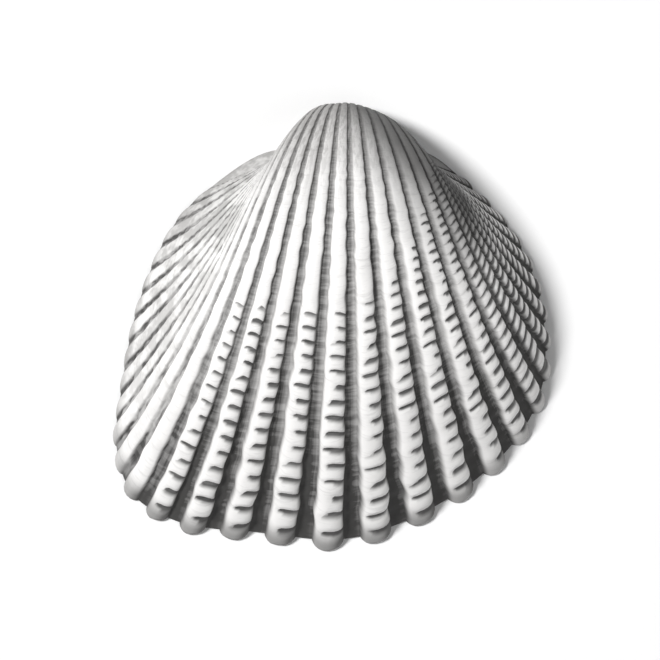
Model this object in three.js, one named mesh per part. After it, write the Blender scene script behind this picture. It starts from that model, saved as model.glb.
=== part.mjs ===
// One valve of a common cockle, lying on its rim with its ribbed back up.
// Millimetres, +Z up, +Y towards the beak, +X towards the front end of the animal.
//
// A cockle grows by adding to its rim, so the whole shell is one outline, the margin, that
// turns about the hinge axis and shrinks as it goes back in time. Here the hinge axis is the
// X axis, the margin of today lies flat on z = 0, and a section of the shell is the margin
// as it was when it still had a given turn to go.

import * as THREE from 'three';

const { degToRad, lerp, smoothstep } = THREE.MathUtils;

// How the margin shrinks: per radian of turn, away from the hinge axis and along it.
const growthRate = 0.85;
const sideRate = 0.8;
const forwardLean = 0.0032;

// The young shell, near the beak, had fuller cheeks than the margin of today.
const cheekFullness = 0.06;
const cheekHalfWidth = 22;
const cheekTurns = [ degToRad( 30 ), degToRad( 95 ) ];

// The flanks beside the hinge rise steeply from the rim. They belong to the stretches of the
// margin within some depth of the axis, and fade out with the turn.
const flankSteepness = 0.8;
const flankDepths = [ 10, 40 ];
const flankTurn = degToRad( 90 );
const flankFade = 1.2;

// The margin at the foot of the ribs, from the hinge round the front, the lower edge and the
// back. The back lower corner is square and the hinge line straight.
const margin = new THREE.CatmullRomCurve3( [
	[ 0, - 0.5 ],
	[ 5, - 0.5 ],
	[ 8.4, - 1.2 ],
	[ 12.5, - 4.5 ],
	[ 16.4, - 8.6 ],
	[ 19, - 13.4 ],
	[ 20.3, - 19.8 ],
	[ 19.7, - 26 ],
	[ 16.3, - 31.6 ],
	[ 9.6, - 36.9 ],
	[ 0.3, - 40.5 ],
	[ - 9.3, - 39.9 ],
	[ - 17.4, - 38.8 ],
	[ - 22.1, - 35.9 ],
	[ - 23.8, - 31 ],
	[ - 23.4, - 25.9 ],
	[ - 21.4, - 16 ],
	[ - 17.7, - 8.1 ],
	[ - 12.8, - 3.6 ],
	[ - 8.6, - 1.1 ],
	[ - 4.6, - 0.5 ]
].map( ( [ x, y ] ) => new THREE.Vector3( x, y, 0 ) ), true );
margin.arcLengthDivisions = 4000;
const marginLength = margin.getLength();
const marginCentre = new THREE.Vector3( - 1, - 20, 0 );

// Ribs are counted from the front. They start and stop short of the hinge, widen towards the
// lower edge and narrow again. Relief is a share of a rib's width.
const ribCount = 33;
const ribsBegin = 12;
const ribsEnd = marginLength - 15.4;
const broadToNarrow = 2.2;
const widening = [ 4.5, 17.5 ];
const narrowing = [ 12, 23.5 ];
const ribRelief = 0.18;
const ribSquareness = 3;

// Ribs stand highest in the middle. Each fade is a stretch of ribs and what it takes away.
const frontFade = { ribs: [ 0, 12 ], loss: 0.7 };
const backFade = { ribs: [ 19, 24 ], loss: 0.5 };
const lastFade = { ribs: [ 27, 34 ], loss: 0.6 };

// Lines along each rib, as shares of its width. A broad rib needs more of them.
const broadRib = 0.35;
const broadRibLines = [ 0, 0.22, 0.5, 0.78 ];
const narrowRibLines = [ 0, 0.5 ];

// Cross bars stand on the ribs of the front and the middle, on the newest part of the shell.
const barCount = 13;
const barPitch = degToRad( 3 );
const barRelief = 0.062;
const barCrest = 0.35;
const lastBarredRibs = [ 18.5, 20.5 ];

// The turn at the rounded tip of the beak, where its rounding starts, and the rows above the
// bars, which open out towards the beak.
const beakTurn = degToRad( 172 );
const beakRoundStart = degToRad( 140 );
const firstTurn = beakTurn - degToRad( 0.5 );
const umboRows = 13;
const umboRowSpread = 1.25;

// The wall is thickest at the rim, and the old shell kept part of that thickness.
const wallAtRim = 2.1;
const oldWallShare = 0.6;
const rimRound = 0.3;
const rimLines = [ 0.2, 0.5, 0.8 ];
const toothLine = 0.5;

// The ribs print through the rim as small waves inside.
const crenulation = 0.45;
const crenulationReach = degToRad( 14 );

// The hollow inside stops short of the beak, with a blunt end.
const cavityTurn = degToRad( 112 );
const cavityRows = 8;
const cavityEndSize = 0.3;
const cavityEndPower = 4;

// The hinge plate widens the wall under the beak and lies a little above the rim's plane.
const hingePlate = 1.6;
const hingeReach = 13;
const hingeFadeFrom = 9;
const hingeRecess = 0.75;
const hingeRecessReach = degToRad( 30 );
const hingeLines = 12;

// The teeth of the hinge: two under the beak, one in front and one behind.
const teeth = [
	{ x: - 1.5, height: 0.75, halfLength: 1.2 },
	{ x: 1.7, height: 0.65, halfLength: 1.2 },
	{ x: 10.4, height: 0.7, halfLength: 2.6 },
	{ x: - 11.4, height: 0.65, halfLength: 2.8 }
];

function broadness( rib ) {

	return smoothstep( rib, ...widening ) * ( 1 - smoothstep( rib, ...narrowing ) );

}

function prominence( rib ) {

	const front = 1 - frontFade.loss * ( 1 - smoothstep( rib, ...frontFade.ribs ) );
	const back = 1 - backFade.loss * smoothstep( rib, ...backFade.ribs );
	const last = 1 - lastFade.loss * smoothstep( rib, ...lastFade.ribs );
	return front * back * last;

}

// Places of the grooves between ribs, as lengths along the margin.
function grooves() {

	const widths = Array.from( { length: ribCount }, ( _, rib ) => lerp( 1, broadToNarrow, broadness( rib ) ) );
	const total = widths.reduce( ( sum, width ) => sum + width, 0 );
	const places = [ ribsBegin ];
	for ( const width of widths ) {

		places.push( places.at( - 1 ) + width / total * ( ribsEnd - ribsBegin ) );

	}

	return places;

}

// One lengthwise line of the shell: its foot on the margin, the way out, and its relief.
function line( along, ribHeight = 0, bar = 0 ) {

	const place = ( along / marginLength ) % 1;
	const tangent = margin.getTangentAt( place );
	return {
		foot: margin.getPointAt( place ),
		outward: new THREE.Vector3( - tangent.y, tangent.x, 0 ),
		ribHeight,
		bar
	};

}

function makeLines() {

	const places = grooves();
	const lines = [];
	for ( let rib = 0; rib < ribCount; rib ++ ) {

		const width = places[ rib + 1 ] - places[ rib ];
		const barHeight = barRelief * width * ( 1 - smoothstep( rib, ...lastBarredRibs ) );
		for ( const share of broadness( rib ) > broadRib ? broadRibLines : narrowRibLines ) {

			const profile = 1 - Math.abs( 2 * share - 1 ) ** ribSquareness;
			const ribHeight = profile * ribRelief * width * prominence( rib );
			lines.push( line( places[ rib ] + share * width, ribHeight, profile * barHeight ) );

		}

	}

	const hingeStart = places.at( - 1 );
	const hingeLength = marginLength + places[ 0 ] - hingeStart;
	for ( let i = 0; i < hingeLines; i ++ ) {

		lines.push( line( hingeStart + i / hingeLines * hingeLength ) );

	}

	return lines;

}

// A point of the flat margin, carried back by a turn about the hinge axis.
function grow( point, turn ) {

	const cheek = cheekFullness * ( point.x / cheekHalfWidth ) ** 2 * smoothstep( turn, ...cheekTurns );
	const along = Math.exp( - ( sideRate - forwardLean * point.x ) * turn ) * ( 1 + cheek );
	const shrink = Math.exp( - growthRate * turn );
	const nearAxis = 1 - smoothstep( - point.y, ...flankDepths );
	const flank = 1 + flankSteepness * nearAxis * Math.max( 0, 1 - turn / flankTurn ) ** flankFade;
	return new THREE.Vector3(
		point.x * along,
		point.y * Math.cos( turn ) * shrink,
		- point.y * Math.sin( turn ) * shrink * flank + point.z
	);

}

// A quarter round from 1 at the start of a stretch to 0 at its end.
function roundedEnd( share ) {

	return Math.sqrt( 1 - Math.min( share, 1 ) ** 2 );

}

function outerRing( lines, turn, barRise ) {

	const tip = roundedEnd( Math.max( 0, turn - beakRoundStart ) / ( beakTurn - beakRoundStart ) );
	const edge = turn === 0 ? rimRound : 0;
	return lines.map( ( { foot, outward, ribHeight, bar } ) => {

		const lift = ribHeight + barRise * bar - edge;
		const point = foot.clone().addScaledVector( outward, lift );
		return grow( marginCentre.clone().lerp( point, tip ), turn );

	} );

}

// How much of the hinge plate there is at a foot of the margin.
function hingeShare( foot ) {

	if ( foot.y < marginCentre.y / 2 ) return 0;
	return 1 - smoothstep( Math.abs( foot.x ), hingeFadeFrom, hingeReach );

}

function innerPoint( { foot, outward, ribHeight }, turn ) {

	const radial = foot.clone().sub( marginCentre );
	const reach = radial.length();
	const oldShare = oldWallShare * Math.exp( growthRate * turn ) + 1 - oldWallShare;
	const wall = wallAtRim * oldShare + hingePlate * hingeShare( foot );
	const closing = lerp( cavityEndSize, 1, roundedEnd( ( turn / cavityTurn ) ** cavityEndPower ) );
	const wave = crenulation * ribHeight * ( 1 - smoothstep( turn, 0, crenulationReach ) );
	const point = radial.multiplyScalar( ( 1 - wall / reach ) * closing ).add( marginCentre );
	point.addScaledVector( outward, wave );
	point.z = hingeRecess * hingeShare( foot ) * ( 1 - smoothstep( turn, 0, hingeRecessReach ) );
	return grow( point, turn );

}

function toothHeight( point ) {

	const heights = teeth.map( ( { x, height, halfLength } ) => {

		return height * Math.max( 0, 1 - ( ( point.x - x ) / halfLength ) ** 2 );

	} );
	return Math.max( ...heights );

}

// A ring of the rim, some share of the way from the outer edge to the inner one.
function rimRing( lines, outerEdge, share ) {

	return lines.map( ( at, i ) => {

		const point = outerEdge[ i ].clone().lerp( innerPoint( at, 0 ), share );
		const recess = hingeShare( at.foot ) * hingeRecess;
		const tooth = share === toothLine ? Math.min( toothHeight( point ), recess ) : 0;
		point.z = recess - tooth;
		return point;

	} );

}

// The sections of the shell, from the beak down the outside, across the rim and up inside.
function shellSections() {

	const lines = makeLines();
	const sections = [];
	const barsEnd = barCount * barPitch;
	for ( let row = umboRows; row > 0; row -- ) {

		const share = ( row / umboRows ) ** umboRowSpread;
		sections.push( outerRing( lines, lerp( barsEnd, firstTurn, share ), 0 ) );

	}

	for ( let bar = barCount - 1; bar >= 0; bar -- ) {

		sections.push( outerRing( lines, ( bar + barCrest ) * barPitch, 1 ) );
		sections.push( outerRing( lines, bar * barPitch, 0 ) );

	}

	const outerEdge = sections.at( - 1 );
	for ( const share of rimLines ) {

		sections.push( rimRing( lines, outerEdge, share ) );

	}

	for ( let row = 0; row <= cavityRows; row ++ ) {

		sections.push( lines.map( ( at ) => innerPoint( at, cavityTurn * row / cavityRows ) ) );

	}

	return sections;

}

function middleOf( section ) {

	const middle = new THREE.Vector3();
	for ( const point of section ) middle.addScaledVector( point, 1 / section.length );
	return middle;

}

// A closed skin over the sections, with a fan of faces about a middle point at each end.
function skin( sections ) {

	const around = sections[ 0 ].length;
	const last = ( sections.length - 1 ) * around;
	const points = [ ...sections.flat(), middleOf( sections[ 0 ] ), middleOf( sections.at( - 1 ) ) ];
	const [ firstMiddle, lastMiddle ] = [ points.length - 2, points.length - 1 ];
	const faces = [];
	for ( let i = 0; i < around; i ++ ) {

		const next = ( i + 1 ) % around;
		for ( let row = 0; row < last; row += around ) {

			faces.push( row + i, row + next, row + around + i );
			faces.push( row + next, row + around + next, row + around + i );

		}

		faces.push( firstMiddle, next, i );
		faces.push( lastMiddle, last + i, last + next );

	}

	const geometry = new THREE.BufferGeometry().setFromPoints( points ).setIndex( faces );
	geometry.computeVertexNormals();
	return geometry;

}

const shellMaterial = new THREE.MeshStandardMaterial( { color: 0xdedcd6, roughness: 0.7, metalness: 0 } );
const valve = new THREE.Mesh( skin( shellSections() ), shellMaterial );
valve.name = 'valve';

const cockleShell = new THREE.Group();
cockleShell.add( valve );

// The origin is under the middle of the shell, on the plane that it lies on.
const extent = new THREE.Box3().setFromObject( valve );
const middle = extent.getCenter( new THREE.Vector3() );
cockleShell.position.set( - middle.x, - middle.y, - extent.min.z );
cockleShell.updateMatrixWorld( true );

export default cockleShell;
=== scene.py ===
import math
from types import SimpleNamespace
import bpy
import numpy as np
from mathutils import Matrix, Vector


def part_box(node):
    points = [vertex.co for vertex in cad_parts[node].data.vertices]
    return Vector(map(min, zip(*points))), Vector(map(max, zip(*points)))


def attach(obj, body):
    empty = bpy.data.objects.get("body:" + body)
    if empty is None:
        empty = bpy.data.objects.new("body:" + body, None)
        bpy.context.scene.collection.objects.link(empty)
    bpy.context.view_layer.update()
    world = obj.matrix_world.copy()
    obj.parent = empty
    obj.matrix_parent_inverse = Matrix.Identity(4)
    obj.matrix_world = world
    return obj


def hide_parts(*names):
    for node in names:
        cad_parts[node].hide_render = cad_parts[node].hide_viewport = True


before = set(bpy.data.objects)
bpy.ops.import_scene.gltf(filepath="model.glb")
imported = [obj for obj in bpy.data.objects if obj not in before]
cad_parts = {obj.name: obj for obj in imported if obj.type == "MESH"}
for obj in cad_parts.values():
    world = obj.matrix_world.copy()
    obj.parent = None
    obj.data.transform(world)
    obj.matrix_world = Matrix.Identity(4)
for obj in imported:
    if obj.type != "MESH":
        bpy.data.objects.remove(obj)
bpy.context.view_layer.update()        # one node, the valve, on the body root
millimetre = 0.001
seed = 11
chance = np.random.default_rng(seed)


# 0 up to low, 1 from high on, and a soft rise between them.
def smooth(value, low, high):
    share = np.clip((value - low) / (high - low), 0, 1)
    return share * share * (3 - 2 * share)


# The shell's growth, in millimetres and degrees. The margin of today lies flat, and every older
# row of the shell is that margin turned about the hinge axis (x) and shrunk.
growth = {
    "shrinkRate": 0.85,             # per radian of turn, away from the hinge axis
    "sideRate": 0.8,                # and along it
    "forwardLean": 0.0032,          # slower in front, so the beak leans forward
    "cheek": 0.06,                  # the young shell was a little fuller at the sides
    "cheekHalfWidth": 22,
    "cheekTurns": (30, 95),
    "flank": 0.8,                   # the flanks beside the hinge rise more steeply
    "flankDepths": (10, 40),
    "flankTurn": 90,
    "flankFade": 1.2,
    "beakTurn": 172,                # the turn at the tip of the beak
    "beakRoundFrom": 140,
    "centre": (-1, -20),            # what a row closes in on at the tip
    "margin": [
        (0, -0.5), (5, -0.5), (8.4, -1.2), (12.5, -4.5), (16.4, -8.6), (19, -13.4), (20.3, -19.8),
        (19.7, -26), (16.3, -31.6), (9.6, -36.9), (0.3, -40.5), (-9.3, -39.9), (-17.4, -38.8),
        (-22.1, -35.9), (-23.8, -31), (-23.4, -25.9), (-21.4, -16), (-17.7, -8.1), (-12.8, -3.6),
        (-8.6, -1.1), (-4.6, -0.5),
    ],
}

# Ribs are counted from the front, and their widths and heights are shares of their spacing. A fade
# is the rib where it starts, the rib where it ends and the share of the height that it takes.
ribs = {
    "count": 33,
    "first": 12,                    # millimetres along the margin, from the middle of the hinge
    "shortOfHinge": 15.4,
    "broadToNarrow": 2.2,
    "widening": (4.5, 17.5),
    "narrowing": (12, 23.5),
    "relief": 0.18,
    "sectionPowers": (2.3, 0.7),    # flat on top, with steep sides
    "frontFade": (0, 12, 0.7),
    "backFade": (19, 24, 0.62),
    "lastFade": (27, 34, 0.6),
    "share": 0.66,                  # how much of its spacing a rib fills
    "smoothShare": 0.74,            # the smooth ribs at the back fill more
    "smoothFrom": (18, 23),
    "oldShare": 0.7,                # and what each fills on the old shell
    "oldTurns": (5, 65),
    "wornUmbo": 0.75,               # height worn away near the beak
    "wornTurns": (70, 150),
    "broadFrom": 0.3,               # broader ribs have the finer set of lines
    "broadLines": (0.3, 0.55, 0.75, 0.89, 0.97, 1),
    "narrowLines": (0.4, 0.7, 0.9, 1),
}

# The grooves between them have a sunk floor with fine rungs across it.
grooves = {
    "depth": 0.1,                   # a share of the spacing
    "edge": 0.4,                    # how far up the rib's side the sinking reaches
    "fromRim": 2.5,                 # degrees over which it sets in
    "rungs": 0.1,                   # millimetres
    "rungEdge": 0.5,
    "rungShift": 0.3,
    "rungsFromRim": 3,
    "rungsEnd": (60, 75),
}

# The scale-like bars across the ribs, one for each small stop in growth. Turns are in degrees.
bars = {
    "pitch": 2.6,
    "count": 29,
    "section": [(0, 0), (0.12, 0.88), (0.32, 1), (0.58, 0.85), (0.8, 0.5)],    # share of pitch, rise
    "relief": 0.062,
    "notch": 0.115,
    "notchSide": (-0.5, 0),         # starts halfway to the back side, whole from the middle on
    "notchPower": 0.3,
    "beadedRibs": (7, 12),          # in front of these the notches cross the whole rib
    "beadedNotch": 0.9,
    "sideUneven": 0.9,
    "frontReach": 75,               # how far back from the rim the bars reach
    "middleReach": 41,
    "reachRibs": (7, 15),
    "notchFade": (-4, 2),           # turns about the reach
    "barFade": (-4, 8),
    "lastRibs": (18.5, 20.5),
    "shift": 0.45,                  # shares of the pitch
    "arch": 0.3,
    "bendPower": 0.5,
    "bendFrom": 2.2,                # pitches from the rim
    "bendEnd": 6,
    "uneven": 0.45,
}

# Rings where growth stopped for a winter: the turn, how deep, and how wide in degrees.
halts = {
    "rings": [(41, 0.16, 0.9), (23, 0.07, 0.7), (66, 0.08, 0.8), (88, 0.07, 0.9)],
    "wander": 1.2,
}

# Waves of random pace and phase, for the edges of the ribs and for low lumps all over.
uneven = {
    "waves": 7,
    "alongPace": (1, 7),
    "turnPace": (2, 11),
    "ribEdge": 0.06,                # a share of the spacing
    "ribPace": 5,
    "sidesApart": 40,
    "edgePace": 9,
    "edgeFromRim": 6,
    "lumps": 0.07,                  # millimetres
    "lumpsFromRim": 12,
}

# The wall, the rim and what is inside. A tooth is its place, its height and half its length.
inner = {
    "rimWall": 2.1,
    "oldShare": 0.6,                # how much of the wall stays as thick in the old shell
    "rimRound": 0.3,
    "roundTurn": 0.6,
    "roundRise": 0.8,
    "roundShare": 0.22,             # of the rim's width
    "roundDepth": 8,                # millimetres from the axis, where the rounding is whole
    "crenulation": 0.7,
    "crenulationReach": 13,
    "plate": 1.6,
    "plateReach": (9, 13),
    "recess": 0.75,
    "recessRise": (0.12, 0.5),
    "recessReach": 30,
    "cavityTurn": 112,
    "cavityEnd": 0.3,
    "cavityEndPower": 4,
    "teeth": [(-1.5, 0.75, 1.2), (1.7, 0.65, 1.2), (10.4, 0.7, 2.6), (-11.4, 0.65, 2.8)],
    "toothAt": 0.62,                # share of the rim's width
    "toothHalfWidth": 0.16,
}

meshRows = {
    "umbo": 32,
    "umboSpread": 1.25,
    "tipGap": 0.5,                  # degrees left to the fan at the tip
    "rim": 8,
    "inside": 22,
    "insideSpread": 1.3,
    "hingeLines": 36,
    "outlineSteps": 190,            # between two points of the margin
    "mapEdge": 0.02,                # share of the map that a fan at an end has
}


# A closed centripetal Catmull-Rom curve through the points, as the margin of the solid is.
def closedCurve(points, steps):
    points = np.array(points, float)
    share = np.linspace(0, 1, steps, endpoint=False)[:, None]
    stretches = []
    for i in range(len(points)):
        a, b, c, d = (points[(i + k) % len(points)] for k in (-1, 0, 1, 2))
        first, second, third = (math.sqrt(math.dist(*pair)) for pair in ((a, b), (b, c), (c, d)))
        into = ((b - a) / first - (c - a) / (first + second) + (c - b) / second) * second
        out = ((c - b) / second - (d - b) / (second + third) + (d - c) / third) * second
        bend = 3 * (c - b) - 2 * into - out
        twist = 2 * (b - c) + into + out
        stretches.append(b + into * share + bend * share**2 + twist * share**3)
    curve = np.concatenate(stretches)
    return np.vstack([curve, curve[:1]])


outline = closedCurve(growth["margin"], meshRows["outlineSteps"])
alongOutline = np.concatenate([[0], np.cumsum(np.hypot(*np.diff(outline, axis=0).T))])
marginLength = alongOutline[-1]
centre = np.array(growth["centre"], float)


def marginAt(along):
    along = np.asarray(along) % marginLength
    return np.stack([np.interp(along, alongOutline, outline[:, k]) for k in (0, 1)], -1)


def outwardAt(along, reach=0.02):
    way = marginAt(along + reach) - marginAt(along - reach)
    way /= np.hypot(way[..., 0], way[..., 1])[..., None]
    return np.stack([-way[..., 1], way[..., 0]], -1)


def broadness(rib):
    return smooth(rib, *ribs["widening"]) * (1 - smooth(rib, *ribs["narrowing"]))


def prominence(rib):
    front, middle, loss = ribs["frontFade"]
    height = 1 - loss * (1 - smooth(rib, front, middle))
    for start, end, loss in (ribs["backFade"], ribs["lastFade"]):
        height *= 1 - loss * smooth(rib, start, end)
    return height


# Every lengthwise line of the mesh, with what it is to its rib. The value across is -1 at the rib's
# front edge and 1 at its back edge. The value beyond is 0 on the rib, and would be -1 and 1 at the
# middles of the grooves beside it. The value lee is 1 at the front edge and falls to 0 on the rib
# and, over the groove, towards the next. The lines of the hinge have no rib, and are numbered -1.
def makeLines():
    number = np.arange(ribs["count"])
    widths = 1 + (ribs["broadToNarrow"] - 1) * broadness(number)
    span = marginLength - ribs["shortOfHinge"] - ribs["first"]
    places = ribs["first"] + np.concatenate([[0], np.cumsum(widths / widths.sum() * span)])
    flatness, steepness = ribs["sectionPowers"]
    found = {name: [] for name in ("middle", "rib", "across", "beyond", "profile", "width", "share")}

    def add(*values):
        for name, value in zip(found, values):
            found[name].append(value)

    for rib in number:
        width = places[rib + 1] - places[rib]
        middle = places[rib] + width / 2
        share = ribs["share"]
        share += (ribs["smoothShare"] - share) * smooth(rib, *ribs["smoothFrom"])
        steps = ribs["broadLines"] if broadness(rib) > ribs["broadFrom"] else ribs["narrowLines"]
        for beyond in (-1, -0.5):
            add(middle, rib, -1, beyond, 0, width, share)
        for across in [-step for step in reversed(steps)] + [0] + list(steps):
            add(middle, rib, across, 0, (1 - abs(across)**flatness)**steepness, width, share)
        add(middle, rib, 1, 0.5, 0, width, share)
    hingeStart = places[-1]
    hingeLength = marginLength + places[0] - hingeStart
    for i in range(meshRows["hingeLines"]):
        add(hingeStart + i / meshRows["hingeLines"] * hingeLength, -1, 0, 0, 0, 1, 1)
    found = {name: np.array(values, float) for name, values in found.items()}
    across, beyond = found["across"], found["beyond"]
    beside = np.where(across < 0, 1 + beyond / 2, beyond / 2)
    found["lee"] = np.where(beyond == 0, smooth(-across, 0, 1), beside) * (found["rib"] >= 0)
    return found


lines = makeLines()
onRib = lines["rib"] >= 0


# Where the lines stand along the margin. Older ribs take another share of their spacing.
def alongAt(degrees):
    older = smooth(degrees, *ribs["oldTurns"]) * onRib
    share = lines["share"] + (ribs["oldShare"] - lines["share"]) * older
    return lines["middle"] + lines["width"] / 2 * (lines["across"] * share + lines["beyond"] * (1 - share))


foot = marginAt(alongAt(0))
outward = outwardAt(alongAt(0))
print("lines along the shell:", len(foot))


# A flat point of the margin, carried back by a turn in radians about the hinge axis.
def grow(x, y, z, turn):
    cheekFrom, cheekTo = np.radians(growth["cheekTurns"])
    cheek = growth["cheek"] * (x / growth["cheekHalfWidth"])**2 * smooth(turn, cheekFrom, cheekTo)
    along = np.exp(-(growth["sideRate"] - growth["forwardLean"] * x) * turn) * (1 + cheek)
    shrink = np.exp(-growth["shrinkRate"] * turn)
    nearAxis = 1 - smooth(-y, *growth["flankDepths"])
    fade = np.maximum(0, 1 - turn / math.radians(growth["flankTurn"]))**growth["flankFade"]
    flank = 1 + growth["flank"] * nearAxis * fade
    return np.stack([x * along, y * np.cos(turn) * shrink, -y * np.sin(turn) * shrink * flank + z], -1)


# A quarter round from 1 at the start of a stretch to 0 at its end.
def roundedEnd(share):
    return np.sqrt(1 - np.minimum(share, 1)**2)


def unevenness(along, turn):
    total = 0
    for _ in range(uneven["waves"]):
        alongWaves = chance.uniform(*uneven["alongPace"])
        turnWaves = chance.uniform(*uneven["turnPace"])
        phase = chance.uniform(0, 2 * math.pi)
        total = total + np.sin(2 * math.pi * alongWaves * along / marginLength + turnWaves * turn + phase)
    return total / uneven["waves"]


# The rows of the outside: their turns, how high a bar stands in each, and which bar that is.
def outerRows():
    count, pitch = bars["count"], bars["pitch"]
    fractions, heights = np.array(bars["section"]).T
    barTurns = (np.arange(count)[:, None] + fractions) * pitch
    top = count * pitch
    umbo = np.arange(meshRows["umbo"]) / (meshRows["umbo"] - 1)
    umboTurns = top + (growth["beakTurn"] - meshRows["tipGap"] - top) * umbo ** meshRows["umboSpread"]
    turns = np.concatenate([barTurns.ravel(), umboTurns])
    rises = np.concatenate([np.tile(heights, count), np.zeros(len(umboTurns))])
    numbers = np.concatenate([np.repeat(np.arange(count), len(fractions)), np.full(len(umboTurns), -1)])
    return turns, rises, numbers


# What chance gives: a shift for each rib, and for each bar of a rib its size and how far it cuts in.
def barChances(rib, numbers):
    table = (bars["count"] + 1, ribs["count"] + 1)
    shift = chance.uniform(-1, 1, table[1])[rib]
    size = 1 - bars["uneven"] * chance.uniform(0, 1, table)[numbers][:, rib]
    cut = chance.uniform(0, 1, table)[numbers][:, rib]
    return shift, size, cut


# Rows arch over the ribs that have bars, and are shifted a little from rib to rib.
def barBend(row, barred, shift):
    pitch, top = bars["pitch"], bars["count"] * bars["pitch"]
    window = smooth(row, 0, bars["bendFrom"] * pitch) * (1 - smooth(row, top - bars["bendEnd"], top))
    bend = bars["shift"] * shift + bars["arch"] * (1 - lines["across"]**2)
    return np.where(onRib, pitch * window * barred * lines["profile"]**bars["bendPower"] * bend, 0)


# How much of a bar there is at each point, and of the notch between it and the next.
def barsAndNotches(row, rises, rib, barred, size, cut):
    middle = smooth(rib, *bars["reachRibs"])
    reach = bars["frontReach"] + (bars["middleReach"] - bars["frontReach"]) * middle
    notchLow, notchHigh = (reach + turn for turn in bars["notchFade"])
    barLow, barHigh = (reach + turn for turn in bars["barFade"])
    side = smooth(-lines["across"] + bars["sideUneven"] * (cut - 0.5), *bars["notchSide"])
    side = np.maximum(side, bars["beadedNotch"] * (1 - smooth(rib, *bars["beadedRibs"])))
    amount = (1 - smooth(row, notchLow, notchHigh)) * barred * size
    notch = (1 - rises[:, None]) * amount * side * lines["profile"]**bars["notchPower"]
    bar = (1 - smooth(row, barLow, barHigh)) * barred * lines["profile"]
    return bar, notch


# Where each point's foot stands along the margin, with the edges of the ribs a little uneven.
def unevenAlong(row, turn):
    place = lines["middle"] * uneven["ribPace"] + uneven["sidesApart"] * np.sign(lines["across"])
    wobble = unevenness(place, uneven["edgePace"] * turn) * (1 - lines["beyond"]**2)
    amount = uneven["ribEdge"] * lines["width"] * smooth(row, 0, uneven["edgeFromRim"]) * onRib
    return alongAt(row) + wobble * amount


def ribLift(rib, degrees):
    worn = 1 - ribs["wornUmbo"] * smooth(degrees, *ribs["wornTurns"])
    return lines["profile"] * ribs["relief"] * lines["width"] * prominence(rib) * worn


# The grooves' sunk floor, which is below nought, and the rungs on it.
def grooveLift(row, degrees, rib, shift):
    sunk = grooves["depth"] * lines["width"] * prominence(rib) * smooth(degrees, 0, grooves["fromRim"])
    sunk = sunk * (1 - smooth(lines["profile"], 0, grooves["edge"]))
    rung = np.cos(2 * math.pi * (row / bars["pitch"] + grooves["rungShift"] * shift))
    rung = rung * (1 - smooth(row, *grooves["rungsEnd"])) * smooth(row, 0, grooves["rungsFromRim"])
    rung = rung * (1 - smooth(lines["profile"], 0, grooves["rungEdge"]))
    return (grooves["rungs"] * rung - sunk) * onRib


def haltLift(along, degrees):
    lift = 0
    for at, depth, width in halts["rings"]:
        ring = at + halts["wander"] * unevenness(along, 0)
        lift = lift - depth * np.exp(-((degrees - ring) / width)**2) * onRib
    return lift


# How far the rim's outer edge is rounded off. There is none at the hinge, near the axis.
def rimRounding(feet, degrees):
    shallow = np.minimum(1, np.maximum(0, -feet[..., 1]) / inner["roundDepth"])
    return inner["rimRound"] * shallow * np.exp(-degrees / inner["roundTurn"])


# Marks are what the material reads at each point of the mesh.
def marksOf(shape, **values):
    return {name: np.broadcast_to(value, shape) for name, value in values.items()}


def outerSurface():
    turns, rises, numbers = outerRows()
    row = turns[:, None]
    rib = lines["rib"].astype(int)
    barred = np.where(onRib, 1 - smooth(rib, *bars["lastRibs"]), 0)
    shift, size, cut = barChances(rib, numbers)
    degrees = row + barBend(row, barred, shift)
    turn = np.radians(degrees)
    along = unevenAlong(row, turn)
    bar, notch = barsAndNotches(row, rises, rib, barred, size, cut)
    lift = ribLift(rib, degrees) + grooveLift(row, degrees, rib, shift)
    lift = lift + lines["width"] * (bars["relief"] * bar - bars["notch"] * notch)
    lift = lift + haltLift(along, degrees)
    lift = lift + uneven["lumps"] * unevenness(along, turn) * smooth(degrees, 0, uneven["lumpsFromRim"])
    feet = marginAt(along)
    edge = rimRounding(feet, degrees)
    flat = feet + outwardAt(along) * (lift - edge)[..., None]
    roundFrom, roundTo = growth["beakRoundFrom"], growth["beakTurn"]
    tip = roundedEnd(np.maximum(0, degrees - roundFrom) / (roundTo - roundFrom))
    flat = centre + (flat - centre) * tip[..., None]
    points = grow(flat[..., 0], flat[..., 1], edge * inner["roundRise"], turn)
    relief = np.where(onRib, lines["profile"], 1)
    marks = marksOf(turn.shape, age=turn / math.pi, inside=0.0, relief=relief, notch=notch * onRib)
    return points[::-1], {name: values[::-1] for name, values in marks.items()}


# 1 where the hinge plate is whole, and 0 away from the hinge.
def hingeShare():
    return np.where(foot[:, 1] < centre[1] / 2, 0, 1 - smooth(np.abs(foot[:, 0]), *inner["plateReach"]))


def innerSurface():
    share = np.arange(meshRows["inside"]) / (meshRows["inside"] - 1)
    degrees = (inner["cavityTurn"] * share**meshRows["insideSpread"])[:, None]
    turn = np.radians(degrees)
    hinge = hingeShare()
    radial = foot - centre
    reach = np.hypot(radial[:, 0], radial[:, 1])
    oldShare = inner["oldShare"] * np.exp(growth["shrinkRate"] * turn) + 1 - inner["oldShare"]
    wall = inner["rimWall"] * oldShare + inner["plate"] * hinge
    blunt = roundedEnd((degrees / inner["cavityTurn"])**inner["cavityEndPower"])
    closing = inner["cavityEnd"] + (1 - inner["cavityEnd"]) * blunt
    height = lines["profile"] * ribs["relief"] * lines["width"] * prominence(lines["rib"]) * onRib
    nearRim = 1 - smooth(degrees, 0, inner["crenulationReach"])
    wave = inner["crenulation"] * height * nearRim
    flat = centre + radial * ((1 - wall / reach) * closing)[..., None] + outward * wave[..., None]
    z = inner["recess"] * hinge * (1 - smooth(degrees, 0, inner["recessReach"]))
    points = grow(flat[..., 0], flat[..., 1], z, turn)
    relief = lines["profile"] * nearRim
    return points, marksOf(wave.shape, age=turn / math.pi, inside=1.0, relief=relief, notch=0.0)


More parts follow.
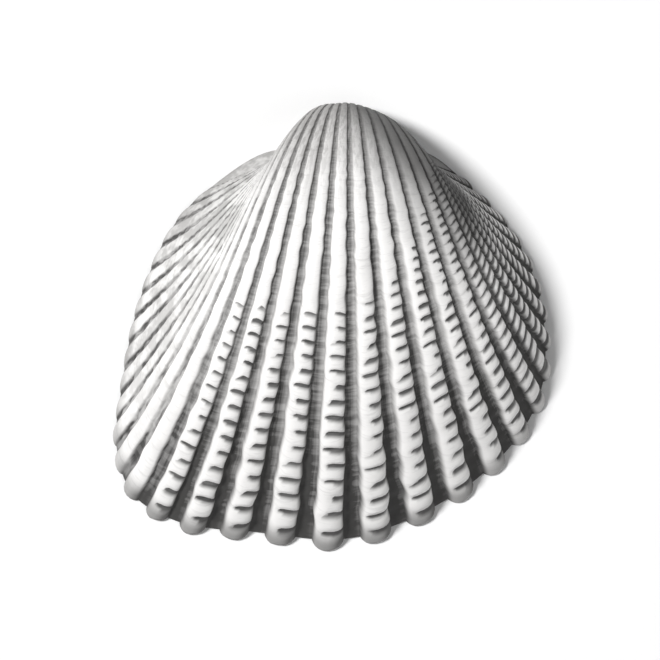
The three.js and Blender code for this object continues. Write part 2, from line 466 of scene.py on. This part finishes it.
# The rim between the two edges, with the teeth in the recess of the hinge.
def rimSurface(outerEdge, innerEdge):
    share = ((np.arange(meshRows["rim"]) + 1) / (meshRows["rim"] + 1))[:, None]
    points = outerEdge[None] + (innerEdge - outerEdge)[None] * share[..., None]
    recess = inner["recess"] * hingeShare() * smooth(share, *inner["recessRise"])
    acrossRim = np.exp(-((share - inner["toothAt"]) / inner["toothHalfWidth"])**2)
    tooth = np.zeros_like(points[..., 0])
    for x, height, half in inner["teeth"]:
        ridge = np.maximum(0, 1 - ((points[..., 0] - x) / half)**2) * acrossRim
        tooth = np.maximum(tooth, height * ridge)
    rounding = rimRounding(foot, 0) * inner["roundRise"] * np.maximum(0, 1 - share / inner["roundShare"])**2
    points[..., 2] = recess - np.minimum(tooth, recess) + rounding
    return points, marksOf(tooth.shape, age=0.0, inside=share, relief=lines["profile"], notch=0.0)


# The faces' corners on the map, each given by its two shares of the map.
def cornerMap(*corners):
    corners = [np.stack(np.broadcast_arrays(*corner), -1) for corner in corners]
    return np.stack(corners, -2).reshape(-1, 2)


# A map that the finish can be baked to: rows up the map, with the fans in strips at its edges.
def rowMap(rows):
    around = rows.shape[1]
    edge = meshRows["mapEdge"]
    run = np.linalg.norm(np.diff(rows, axis=0), axis=-1).mean(1)
    down = np.concatenate([[0], np.cumsum(run)])
    down = edge + (1 - 2 * edge) * down / down[-1]
    across = np.arange(around + 1) / around
    start, end = across[:-1], across[1:]
    middle = (start + end) / 2
    above, below = down[:-1, None], down[1:, None]
    return np.concatenate([
        cornerMap((start, above), (end, above), (end, below), (start, below)),
        cornerMap((middle, 0), (end, edge), (start, edge)),
        cornerMap((middle, 1), (start, 1 - edge), (end, 1 - edge)),
    ])


# Rows of points as one closed skin, with a fan at each end, smooth faces, a map and the marks.
def skinMesh(name, rows, marks):
    count, around = rows.shape[:2]
    ends = np.stack([rows[0].mean(0), rows[-1].mean(0)])
    points = np.concatenate([rows.reshape(-1, 3), ends])
    index = np.arange(count * around).reshape(count, around)
    after = np.roll(index, -1, 1)
    quads = np.stack([index[:-1], after[:-1], after[1:], index[1:]], -1).reshape(-1, 4)
    firstEnd, lastEnd = count * around, count * around + 1
    fans = np.concatenate([
        np.stack([np.full(around, firstEnd), after[0], index[0]], -1),
        np.stack([np.full(around, lastEnd), index[-1], after[-1]], -1),
    ])
    mesh = bpy.data.meshes.new(name)
    mesh.from_pydata(points.tolist(), [], quads.tolist() + fans.tolist())
    mesh.shade_smooth()
    mesh.uv_layers.new(name="OFBake").data.foreach_set("uv", rowMap(rows).ravel())
    for label, values in marks.items():
        ending = [values[0].mean(), values[-1].mean()]
        layer = mesh.attributes.new(label, "FLOAT", "POINT")
        layer.data.foreach_set("value", np.concatenate([values.ravel(), ending]).astype(np.float32))
    return mesh


# The marks that stay the same along a line. The number of the rib passes from the last to the first
# over the middle stretch of the hinge, whose half is given in millimetres.
def lineMarks(shape, hingeHalf=5):
    along = alongAt(0) % marginLength
    along = np.where(onRib, along, np.minimum(along, marginLength - along))
    hingeRib = ribs["count"] - (ribs["count"] + 1) * smooth(foot[:, 0], -hingeHalf, hingeHalf)
    rib = np.where(onRib, lines["rib"], hingeRib)
    return marksOf(shape, along=along, rib=rib, lee=lines["lee"])


def makeValve():
    outside, outsideMarks = outerSurface()
    inside, insideMarks = innerSurface()
    rim, rimMarks = rimSurface(outside[-1], inside[0])
    rows = np.concatenate([outside, rim, inside])
    parts = (outsideMarks, rimMarks, insideMarks)
    marks = {name: np.concatenate([part[name] for part in parts]) for name in rimMarks}
    marks.update(lineMarks(rows.shape[:2]))
    low, high = (np.array(corner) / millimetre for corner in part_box("valve"))
    shift = (low + high) / 2 - (rows.min((0, 1)) + rows.max((0, 1))) / 2
    shift[2] = low[2] - rows[..., 2].min()
    mesh = skinMesh("cockleValve", (rows + shift) * millimetre, marks)
    return bpy.data.objects.new("cockleValve", mesh)


valve = makeValve()
bpy.context.scene.collection.objects.link(valve)
print("valve:", len(valve.data.vertices), "points,", len(valve.data.polygons), "faces")


# A socket that can be added, subtracted and multiplied, each operator being one Math node.
class Value:
    def __init__(self, paint, socket):
        self.paint = paint
        self.socket = socket

    def maths(self, operation, *values):
        return self.paint.node("ShaderNodeMath", {"operation": operation}, dict(enumerate(values)))

    def __add__(self, other):
        return self.maths("ADD", self, other)

    def __radd__(self, other):
        return self.maths("ADD", other, self)

    def __sub__(self, other):
        return self.maths("SUBTRACT", self, other)

    def __rsub__(self, other):
        return self.maths("SUBTRACT", other, self)

    def __mul__(self, other):
        return self.maths("MULTIPLY", self, other)

    def __rmul__(self, other):
        return self.maths("MULTIPLY", other, self)

    def clipped(self):
        return self.maths("MINIMUM", self.maths("MAXIMUM", self, 0), 1)


class Paint:
    def __init__(self, name):
        self.material = bpy.data.materials.new(name)
        self.material.use_nodes = True
        self.tree = self.material.node_tree
        self.tree.nodes.clear()

    # Any node: its type, its settings, then the values or links of its sockets by name or number.
    def node(self, kind, settings, sockets, output=0):
        made = self.tree.nodes.new(kind)
        for name, value in settings.items():
            setattr(made, name, value)
        for name, value in sockets.items():
            if isinstance(value, Value):
                self.tree.links.new(value.socket, made.inputs[name])
            else:
                made.inputs[name].default_value = value
        return Value(self, made.outputs[output]) if made.outputs else made

    def mark(self, name):
        return self.node("ShaderNodeAttribute", {"attribute_name": name}, {}, "Fac")

    def step(self, value, low, high):
        settings = {"interpolation_type": "SMOOTHSTEP"}
        sockets = {"Value": value, "From Min": low, "From Max": high}
        return self.node("ShaderNodeMapRange", settings, sockets)

    def noise(self, place, scale, detail, roughness):
        sockets = {"Vector": place, "Scale": scale, "Detail": detail, "Roughness": roughness}
        return self.node("ShaderNodeTexNoise", {}, sockets, "Fac")

    # Noise drawn out over the shell: x follows its age, y its margin, and z is a layer of the noise.
    def streaks(self, x, y, z, detail, roughness):
        return self.noise(self.node("ShaderNodeCombineXYZ", {}, {0: x, 1: y, 2: z}), 1, detail, roughness)

    def blend(self, share, first, second):
        return self.node("ShaderNodeMix", {"data_type": "RGBA"}, {0: share, 6: first, 7: second}, 2)


def grey(shade, warmth=0.0):
    return (shade * (1 + warmth), shade, shade * (1 - warmth), 1)


# From here on an age is the turn as a share of half a turn, 0 at the rim. A pair of numbers is where
# a look starts to change and where the change is whole, in ages, ribs or the strength of a noise.
shellFinish = {
    "crest": grey(0.88, 0.012),
    # the grey of wear on the old shell, and of the painted shade on the back flank
    "old": grey(0.4, 0.02),
    # the colour of the painted shade at the rib ends, on the front shoulder and along the front edge
    "paintedShade": grey(0.14, 0.02),
    # the colour of grime and painted shade in the grooves
    "groove": grey(0.05, 0.03),
    # the colour of the growth lines, and of the painted shade in the notches
    "line": grey(0.06, 0.02),
    "inside": grey(0.84, 0.02),
    "scar": grey(0.6, 0.03),
    "lining": (0.3, 0.7),
    "frontRibs": (5, 12),
    "oldAges": (0.3, 0.75),
    "broken": (0.42, 0.62),
    "roughness": 0.72,
    "insideRoughness": 0.38,
    "roughnessRange": 0.2,
    "refraction": 1.5,
}

# Noise in space has a scale per metre. Noise drawn out over the shell has a pace with the age, a
# pace along the margin, and the layer that the inside takes, or all of the shell for the dashes.
# Both end in detail and roughness.
noises = {
    "mottle": (260, 4, 0.6),
    "blotch": (70, 2, 0.5),
    "patch": (330, 3, 0.7),
    "growth": (210, 0.16, 3, 3, 0.55),
    "fine": (630, 0.5, 5, 2, 0.5),
    "rib": (9, 5, 7, 3, 0.6),
    "dash": (40, 0.9, 4, 2, 0.6),
}


# The marks and noises that the parts of the finish share.
def shellFields(paint):
    names = ("age", "along", "inside", "relief", "notch", "rib", "lee")
    at = SimpleNamespace(**{name: paint.mark(name) for name in names})
    place = paint.node("ShaderNodeTexCoord", {}, {}, "Object")

    def streak(name, isInside):
        agePace, alongPace, layer, detail, roughness = noises[name]
        return paint.streaks(at.age * agePace, at.along * alongPace, isInside * layer, detail, roughness)

    at.mottle = paint.noise(place, *noises["mottle"])
    at.blotch = paint.noise(place, *noises["blotch"])
    at.patch = paint.noise(place, *noises["patch"])
    at.growthStreak = streak("growth", at.inside)
    at.fineStreak = streak("fine", at.inside)
    at.ribStreak = streak("rib", at.inside)
    at.dash = streak("dash", 1)
    at.lining = paint.step(at.inside, *shellFinish["lining"])
    at.outside = 1 - at.lining
    at.front = 1 - paint.step(at.rib, *shellFinish["frontRibs"])
    at.oldest = paint.step(at.age, *shellFinish["oldAges"])
    at.broken = paint.step(at.dash, *shellFinish["broken"])
    return at


# Darkening in the grooves, partly grime and partly painted shade in the recess, with a painted shadow
# beside each rib's front edge, thinner where the dashes break it on the smooth ribs and the old shell.
grooveGrimeAndPaintedShade = {
    "section": (0.02, 0.62),
    "frontWider": 0.25,
    "least": 0.4,
    # the painted shadow beside each rib's front edge, and the lee values over which it sets in
    "lee": 0.27,
    "leeShadowBand": (0.1, 0.62),
    "young": 0.3,
    "youngAges": (0, 0.16),
    "front": 0.25,
    "streaks": 0.3,
    "rungs": 0.14,
    "rungFrom": (0.38, 0.6),
    "smoothRibs": (18.5, 21.5),
    "smoothLoss": (0.18, 0.42),     # all over, and what a break adds
    "oldAges": (0.3, 0.55),
    "oldLoss": (0.1, 0.45),
}


def grooveShade(paint, at):
    look = grooveGrimeAndPaintedShade
    floor, top = look["section"]
    groove = (1 - paint.step(at.relief, floor, top + look["frontWider"] * at.front)) * at.outside
    young = 1 - paint.step(at.age, *look["youngAges"])
    # painted shade in the groove, with a painted shadow band beside each rib's front edge
    shade = look["least"] + look["lee"] * paint.step(at.lee, *look["leeShadowBand"])
    shade = shade + look["young"] * young + look["front"] * at.front + look["streaks"] * at.ribStreak
    shade = groove * (shade + look["rungs"] * paint.step(at.growthStreak, *look["rungFrom"]))
    loss, brokenLoss = look["smoothLoss"]
    shade = shade * (1 - paint.step(at.rib, *look["smoothRibs"]) * (loss + brokenLoss * at.broken))
    loss, brokenLoss = look["oldLoss"]
    shade = shade * (1 - paint.step(at.age, *look["oldAges"]) * (loss + brokenLoss * at.broken))
    return shade.clipped()


# Painted shade in the notches between the bars, and threads of growth over all.
notchPaintedShade = {"depth": (0.1, 0.5), "least": 0.72, "streaks": 0.4}
threads = {"from": (0.56, 0.7), "growth": 0.13, "fine": 0.09}


def notchShade(paint, at):
    # painted shade in the notches
    depth = paint.step(at.notch * (1 + at.front), *notchPaintedShade["depth"])
    return (depth * (notchPaintedShade["least"] + notchPaintedShade["streaks"] * at.growthStreak)).clipped()


def threadShade(paint, at):
    thread = paint.step(at.growthStreak, *threads["from"]) * threads["growth"]
    thread = thread + paint.step(at.fineStreak, *threads["from"]) * threads["fine"]
    return (thread * at.outside).clipped()


# Painted shade on the rib ends along the rim, strongest at the middle ribs and on each rib's front side,
# and painted shade on the front shoulder, which takes in more ribs on the older shell, and along the front
# edge.
paintedShadeOfRimAndShoulder = {
    "tipAges": (0.006, 0.024),
    "tip": 0.75,
    "tipLeeShade": 0.4,
    "tipFront": 0.4,
    "tipMiddle": 0.6,
    "middleRibs": (8, 13),
    "tipBack": 0.5,
    "backRibs": (19, 22),
    "shoulderRibs": (4, 9.5),
    "shoulderSpread": 12,           # ribs more for each half turn of age
    "shoulderAges": (0.1, 0.25),
    "frontEnd": 0.7,
    "frontEndRibs": (-1, 3),
    "blotches": (0.6, 0.8),         # all over, and what the blotches add
}


def rimAndShoulderPaintedShade(paint, at):
    look = paintedShadeOfRimAndShoulder
    # painted shade on the rounded rib ends at the rim
    tip = (1 - paint.step(at.age, *look["tipAges"])) * (look["tip"] + look["tipLeeShade"] * at.lee)
    middle = look["tipFront"] + look["tipMiddle"] * paint.step(at.rib, *look["middleRibs"])
    tip = tip * (middle - look["tipBack"] * paint.step(at.rib, *look["backRibs"]))
    # painted shade on the front shoulder and along the front edge
    shoulder = 1 - paint.step(at.rib - at.age * look["shoulderSpread"], *look["shoulderRibs"])
    shoulder = shoulder * paint.step(at.age, *look["shoulderAges"])
    shoulder = shoulder + (1 - paint.step(at.rib, *look["frontEndRibs"])) * look["frontEnd"]
    least, more = look["blotches"]
    return ((shoulder * (least + more * at.blotch) + tip) * at.outside).clipped()


# The chalk is greyer where the shell is old, scuffed or mottled. On the back flank it is greyer in patches,
# which is painted shade, as is the darker hinge edge behind it, and the old ribs there near the beak are
# worn greyer.
wearAndPaintedShade = {
    "oldest": 0.9,
    "scuffedAges": (0.28, 0.5),
    "scuffedRibs": (13, 19),
    "scuffedDashes": (0.44, 0.6),
    "scuffed": 0.3,
    "mottle": 0.5,
    # painted shade on the back flank, in patches, and along the hinge edge behind it
    "flankRibs": (18, 26),
    "flank": (0.18, 0.56),          # all over, and what a patch adds
    "patches": (0.42, 0.6),
    "lastRibs": (27, 32.5),
    "last": 0.3,
    "umboRibs": (14, 21),
    "umbo": (0.2, 0.4),             # all over, and what a break adds
}


def wornShade(paint, at):
    scuffed = paint.step(at.rib, *wearAndPaintedShade["scuffedRibs"]) + paint.step(at.dash, *wearAndPaintedShade["scuffedDashes"])
    scuffed = paint.step(at.age, *wearAndPaintedShade["scuffedAges"]) * scuffed * wearAndPaintedShade["scuffed"]
    return (at.oldest * wearAndPaintedShade["oldest"] + scuffed + (at.mottle - 0.5) * wearAndPaintedShade["mottle"]).clipped()


def flankShade(paint, at):
    # painted shade on the back flank in patches and along the hinge edge, and wear on the old ribs near the
    # beak
    least, more = wearAndPaintedShade["flank"]
    patch = paint.step(at.patch, *wearAndPaintedShade["patches"])
    flank = paint.step(at.rib, *wearAndPaintedShade["flankRibs"]) * (least + more * patch)
    flank = flank + paint.step(at.rib, *wearAndPaintedShade["lastRibs"]) * wearAndPaintedShade["last"]
    least, more = wearAndPaintedShade["umbo"]
    flank = flank + at.oldest * paint.step(at.rib, *wearAndPaintedShade["umboRibs"]) * (least + more * at.broken)
    return (flank * at.outside).clipped()


# Inside: the two scars of the closing muscles, and the mantle's line that runs between them. Places
# are shares of the margin's length, and lengths are in millimetres.
scars = {
    "places": (0.19, 0.8),
    "halfLength": 4.2,
    "age": 0.2,
    "halfAge": 0.06,
    "edge": (0.7, 1.1),
    "lineAge": 0.13,
    "lineHalf": 0.008,
    "lineEdge": (0.3, 1.2),
    "lineFade": 2,
    "line": 0.7,
    "lining": (0.9, 1),
}


def muscleScars(paint, at):
    first, last = (place * marginLength for place in scars["places"])
    marks = 0
    for place in (first, last):
        aside = (at.along - place) * (1 / scars["halfLength"])
        inward = (at.age - scars["age"]) * (1 / scars["halfAge"])
        marks = marks + 1 - paint.step(aside * aside + inward * inward, *scars["edge"])
    offset = (at.age - scars["lineAge"]) * (1 / scars["lineHalf"])
    between = paint.step(at.along, first, first + scars["lineFade"])
    between = between * (1 - paint.step(at.along, last - scars["lineFade"], last))
    marks = marks + (1 - paint.step(offset * offset, *scars["lineEdge"])) * between * scars["line"]
    return marks.clipped() * paint.step(at.inside, *scars["lining"])


# Relief too low for the mesh: its height in metres, and the shares that make it up.
lowRelief = {
    "height": 0.00006,
    "strength": 0.8,
    "growth": 0.55,
    "fine": 0.2,
    "mottle": 0.25,
    "inside": -0.4,
    "scar": 0.6,
}


def shellBump(paint, at, scar):
    look = lowRelief
    height = at.growthStreak * look["growth"] + at.fineStreak * look["fine"] + at.mottle * look["mottle"]
    height = height + at.lining * look["inside"] - scar * look["scar"]
    sockets = {"Strength": look["strength"], "Distance": look["height"], "Height": height}
    return paint.node("ShaderNodeBump", {}, sockets)


def shellMaterial():
    look = shellFinish
    paint = Paint("chalkyShell")
    at = shellFields(paint)
    colour = paint.blend(wornShade(paint, at), look["crest"], look["old"])
    # painted shade on the back flank and along the hinge edge behind it, with wear near the beak
    colour = paint.blend(flankShade(paint, at), colour, look["old"])
    # painted shade at the rib ends, on the front shoulder and along the front edge
    colour = paint.blend(rimAndShoulderPaintedShade(paint, at), colour, look["paintedShade"])
    colour = paint.blend(threadShade(paint, at), colour, look["line"])
    # painted shade in the notches
    colour = paint.blend(notchShade(paint, at), colour, look["line"])
    # grime and painted shade in the grooves
    colour = paint.blend(grooveShade(paint, at), colour, look["groove"])
    scar = muscleScars(paint, at)
    colour = paint.blend(at.lining, colour, paint.blend(scar, look["inside"], look["scar"]))
    roughness = look["roughness"] + (at.mottle - 0.5) * look["roughnessRange"]
    roughness = roughness - at.lining * (look["roughness"] - look["insideRoughness"])
    surface = paint.node("ShaderNodeBsdfPrincipled", {}, {
        "Base Color": colour,
        "Roughness": roughness,
        "Normal": shellBump(paint, at, scar),
        "IOR": look["refraction"],
    })
    paint.node("ShaderNodeOutputMaterial", {}, {"Surface": surface})
    return paint.material


valve.data.materials.append(shellMaterial())
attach(valve, "root")
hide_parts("valve")
print("shell painted")


# The floor and the lights are in metres, and the camera is in millimetres.
studio = {
    "floorHalf": 0.6,
    "floorShade": grey(0.9),
    "floorRoughness": 0.9,
    "lookAt": (-0.185, -0.252),
    "cameraHeight": 600,
    "viewWidth": 67.07,             # across the picture, on the floor
    "sensor": 36,
    "clipStart": 10,
    "keyPlace": (-0.66, 0.25, 1.0),
    "keySize": 0.3,
    "keyPower": 15.6,
    "fillPlace": (0.4, -0.25, 0.55),
    "fillSize": 0.6,
    "fillPower": 1.1,
    "lightsAimAt": (0, 0, 0.005),
    "skyStrength": 0.16,
}


def makeFloor():
    half = studio["floorHalf"]
    mesh = bpy.data.meshes.new("floor")
    corners = [(-half, -half, 0), (half, -half, 0), (half, half, 0), (-half, half, 0)]
    mesh.from_pydata(corners, [], [(0, 1, 2, 3)])
    floor = bpy.data.objects.new("floor", mesh)
    bpy.context.scene.collection.objects.link(floor)
    paint = Paint("palePaper")
    sockets = {"Base Color": studio["floorShade"], "Roughness": studio["floorRoughness"]}
    surface = paint.node("ShaderNodeBsdfPrincipled", {}, sockets)
    paint.node("ShaderNodeOutputMaterial", {}, {"Surface": surface})
    mesh.materials.append(paint.material)


def softLight(name, place, size, power):
    lamp = bpy.data.lights.new(name, "AREA")
    lamp.shape = "DISK"
    lamp.size = size
    lamp.energy = power
    holder = bpy.data.objects.new(name, lamp)
    holder.location = place
    aim = Vector(studio["lightsAimAt"]) - Vector(place)
    holder.rotation_euler = aim.to_track_quat("-Z", "Y").to_euler()
    bpy.context.scene.collection.objects.link(holder)


# The camera looks straight down, square on to the shell's back.
def makeCamera():
    camera = bpy.data.cameras.new("camera")
    camera.sensor_width = studio["sensor"]
    camera.lens = studio["sensor"] * studio["cameraHeight"] / studio["viewWidth"]
    camera.clip_start = studio["clipStart"] * millimetre
    holder = bpy.data.objects.new("camera", camera)
    x, y = (value * millimetre for value in studio["lookAt"])
    holder.location = (x, y, studio["cameraHeight"] * millimetre)
    bpy.context.scene.collection.objects.link(holder)
    bpy.context.scene.camera = holder


def makeSky():
    world = bpy.data.worlds.new("studioSky")
    world.use_nodes = True
    sky = world.node_tree.nodes["Background"]
    sky.inputs["Color"].default_value = grey(1)
    sky.inputs["Strength"].default_value = studio["skyStrength"]
    bpy.context.scene.world = world


makeFloor()
softLight("keyLight", studio["keyPlace"], studio["keySize"], studio["keyPower"])
softLight("fillLight", studio["fillPlace"], studio["fillSize"], studio["fillPower"])
makeCamera()
makeSky()
bpy.context.scene.view_settings.view_transform = "Standard"
print("studio set")
